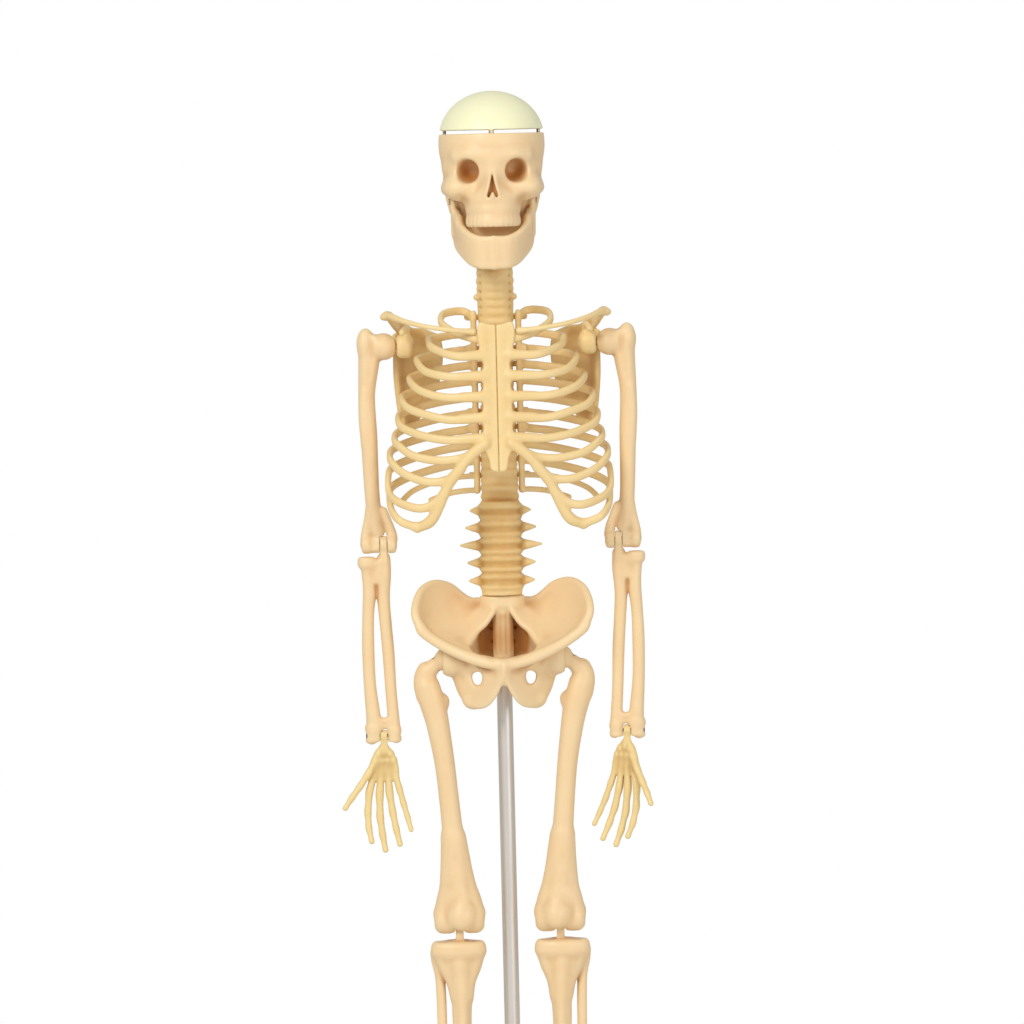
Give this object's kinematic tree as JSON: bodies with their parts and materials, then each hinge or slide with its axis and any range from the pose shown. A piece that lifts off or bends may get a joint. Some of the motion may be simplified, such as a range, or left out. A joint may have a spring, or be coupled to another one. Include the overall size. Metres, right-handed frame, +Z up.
{
  "type": "human skeleton model",
  "caption": "Desk-top teaching skeleton on a rod stand, with a turning head, opening jaw, lift-off skull cap and hinged shoulders, elbows, wrists, hips, knees and ankles.",
  "frame": {"origin": "centre of the stand's footprint, at the bottom of its rubber pads", "axes": "+Z up, -Y the way the skeleton faces, +X its own left side"},
  "size_m": [0.15, 0.12, 0.45],
  "materials": {
    "bone_plastic": "satin moulded bone colour",
    "trunk_plastic": "satin moulded, a little yellower",
    "hand_plastic": "satin moulded yellow cream",
    "cap_plastic": "satin moulded pale cream",
    "rod_steel": "bright drawn bar",
    "pin_steel": "plain",
    "dark_steel": "dark",
    "base_plastic": "satin white",
    "pad_rubber": "matte"
  },
  "bodies": {
    "trunk": {"base_plate": "base_plastic", "base_pads": "pad_rubber", "stand_rod": "rod_steel", "rod_washer": "pin_steel", "rod_nut": "pin_steel", "pelvis": "bone_plastic", "backbone": "trunk_plastic", "rib_cage_left": "trunk_plastic", "rib_cage_right": "trunk_plastic", "cage_screws": "pin_steel", "shoulder_girdle_left": "trunk_plastic", "shoulder_girdle_right": "trunk_plastic", "collar_pin_left": "pin_steel", "collar_pin_right": "pin_steel", "shoulder_pin_left": "pin_steel", "shoulder_pin_right": "pin_steel", "hip_pin_left": "pin_steel", "hip_pin_right": "pin_steel", "neck_pin": "pin_steel"},
    "head": {"cranium": "bone_plastic", "jaw_pin_left": "pin_steel", "jaw_pin_right": "pin_steel"},
    "jaw_body": {"jaw": "bone_plastic"},
    "cap_body": {"skull_cap": "cap_plastic", "cap_pins": "pin_steel"},
    "upper_arm_left": {"humerus_left": "bone_plastic", "elbow_pin_left": "pin_steel"},
    "lower_arm_left": {"forearm_left": "bone_plastic", "wrist_pin_left": "dark_steel"},
    "hand_body_left": {"hand_left": "hand_plastic"},
    "thigh_left": {"femur_left": "bone_plastic", "knee_pin_left": "pin_steel"},
    "lower_leg_left": {"shin_left": "bone_plastic", "ankle_pin_left": "pin_steel"},
    "foot_body_left": {"foot_left": "bone_plastic"},
    "upper_arm_right": {"humerus_right": "bone_plastic", "elbow_pin_right": "pin_steel"},
    "lower_arm_right": {"forearm_right": "bone_plastic", "wrist_pin_right": "dark_steel"},
    "hand_body_right": {"hand_right": "hand_plastic"},
    "thigh_right": {"femur_right": "bone_plastic", "knee_pin_right": "pin_steel"},
    "lower_leg_right": {"shin_right": "bone_plastic", "ankle_pin_right": "pin_steel"},
    "foot_body_right": {"foot_right": "bone_plastic"}
  },
  "joints": [
    {"name": "head_turn", "type": "hinge", "parent": "trunk", "child": "head", "pos_m": [0, 0.004, 0.3865], "axis": [0, 0, 1], "range_deg": [-60, 60]},
    {"name": "jaw_hinge", "type": "hinge", "parent": "head", "child": "jaw_body", "pos_m": [0, 0.001, 0.408], "axis": [1, 0, 0], "range_deg": [-5, 15]},
    {"name": "cap_lift", "type": "slide", "parent": "head", "child": "cap_body", "axis": [0, 0, 1], "range_m": [0, 0.03]},
    {"name": "shoulder_left", "type": "hinge", "parent": "trunk", "child": "upper_arm_left", "pos_m": [0.0426, 0.004, 0.3533], "axis": [-1, 0, 0], "range_deg": [-45, 150]},
    {"name": "elbow_left", "type": "hinge", "parent": "upper_arm_left", "child": "lower_arm_left", "pos_m": [0.0468, 0.003, 0.2776], "axis": [-1, 0, 0], "range_deg": [0, 105]},
    {"name": "wrist_left", "type": "hinge", "parent": "lower_arm_left", "child": "hand_body_left", "pos_m": [0.0467, 0.002, 0.204], "axis": [-1, 0, 0], "range_deg": [-45, 45]},
    {"name": "hip_left", "type": "hinge", "parent": "trunk", "child": "thigh_left", "pos_m": [0.022, 0, 0.233], "axis": [-1, 0, 0], "range_deg": [-20, 80]},
    {"name": "knee_left", "type": "hinge", "parent": "thigh_left", "child": "lower_leg_left", "pos_m": [0.0194, 0, 0.1323], "axis": [1, 0, 0], "range_deg": [0, 95]},
    {"name": "ankle_left", "type": "hinge", "parent": "lower_leg_left", "child": "foot_body_left", "pos_m": [0.0196, 0.005, 0.042], "axis": [1, 0, 0], "range_deg": [-25, 10]},
    {"name": "shoulder_right", "type": "hinge", "parent": "trunk", "child": "upper_arm_right", "pos_m": [-0.0426, 0.004, 0.3533], "axis": [-1, 0, 0], "range_deg": [-45, 150]},
    {"name": "elbow_right", "type": "hinge", "parent": "upper_arm_right", "child": "lower_arm_right", "pos_m": [-0.0468, 0.003, 0.2776], "axis": [-1, 0, 0], "range_deg": [0, 105]},
    {"name": "wrist_right", "type": "hinge", "parent": "lower_arm_right", "child": "hand_body_right", "pos_m": [-0.0467, 0.002, 0.204], "axis": [-1, 0, 0], "range_deg": [-45, 45]},
    {"name": "hip_right", "type": "hinge", "parent": "trunk", "child": "thigh_right", "pos_m": [-0.022, 0, 0.233], "axis": [-1, 0, 0], "range_deg": [-20, 80]},
    {"name": "knee_right", "type": "hinge", "parent": "thigh_right", "child": "lower_leg_right", "pos_m": [-0.0194, 0, 0.1323], "axis": [1, 0, 0], "range_deg": [0, 95]},
    {"name": "ankle_right", "type": "hinge", "parent": "lower_leg_right", "child": "foot_body_right", "pos_m": [-0.0196, 0.005, 0.042], "axis": [1, 0, 0], "range_deg": [-25, 10]}
  ]
}
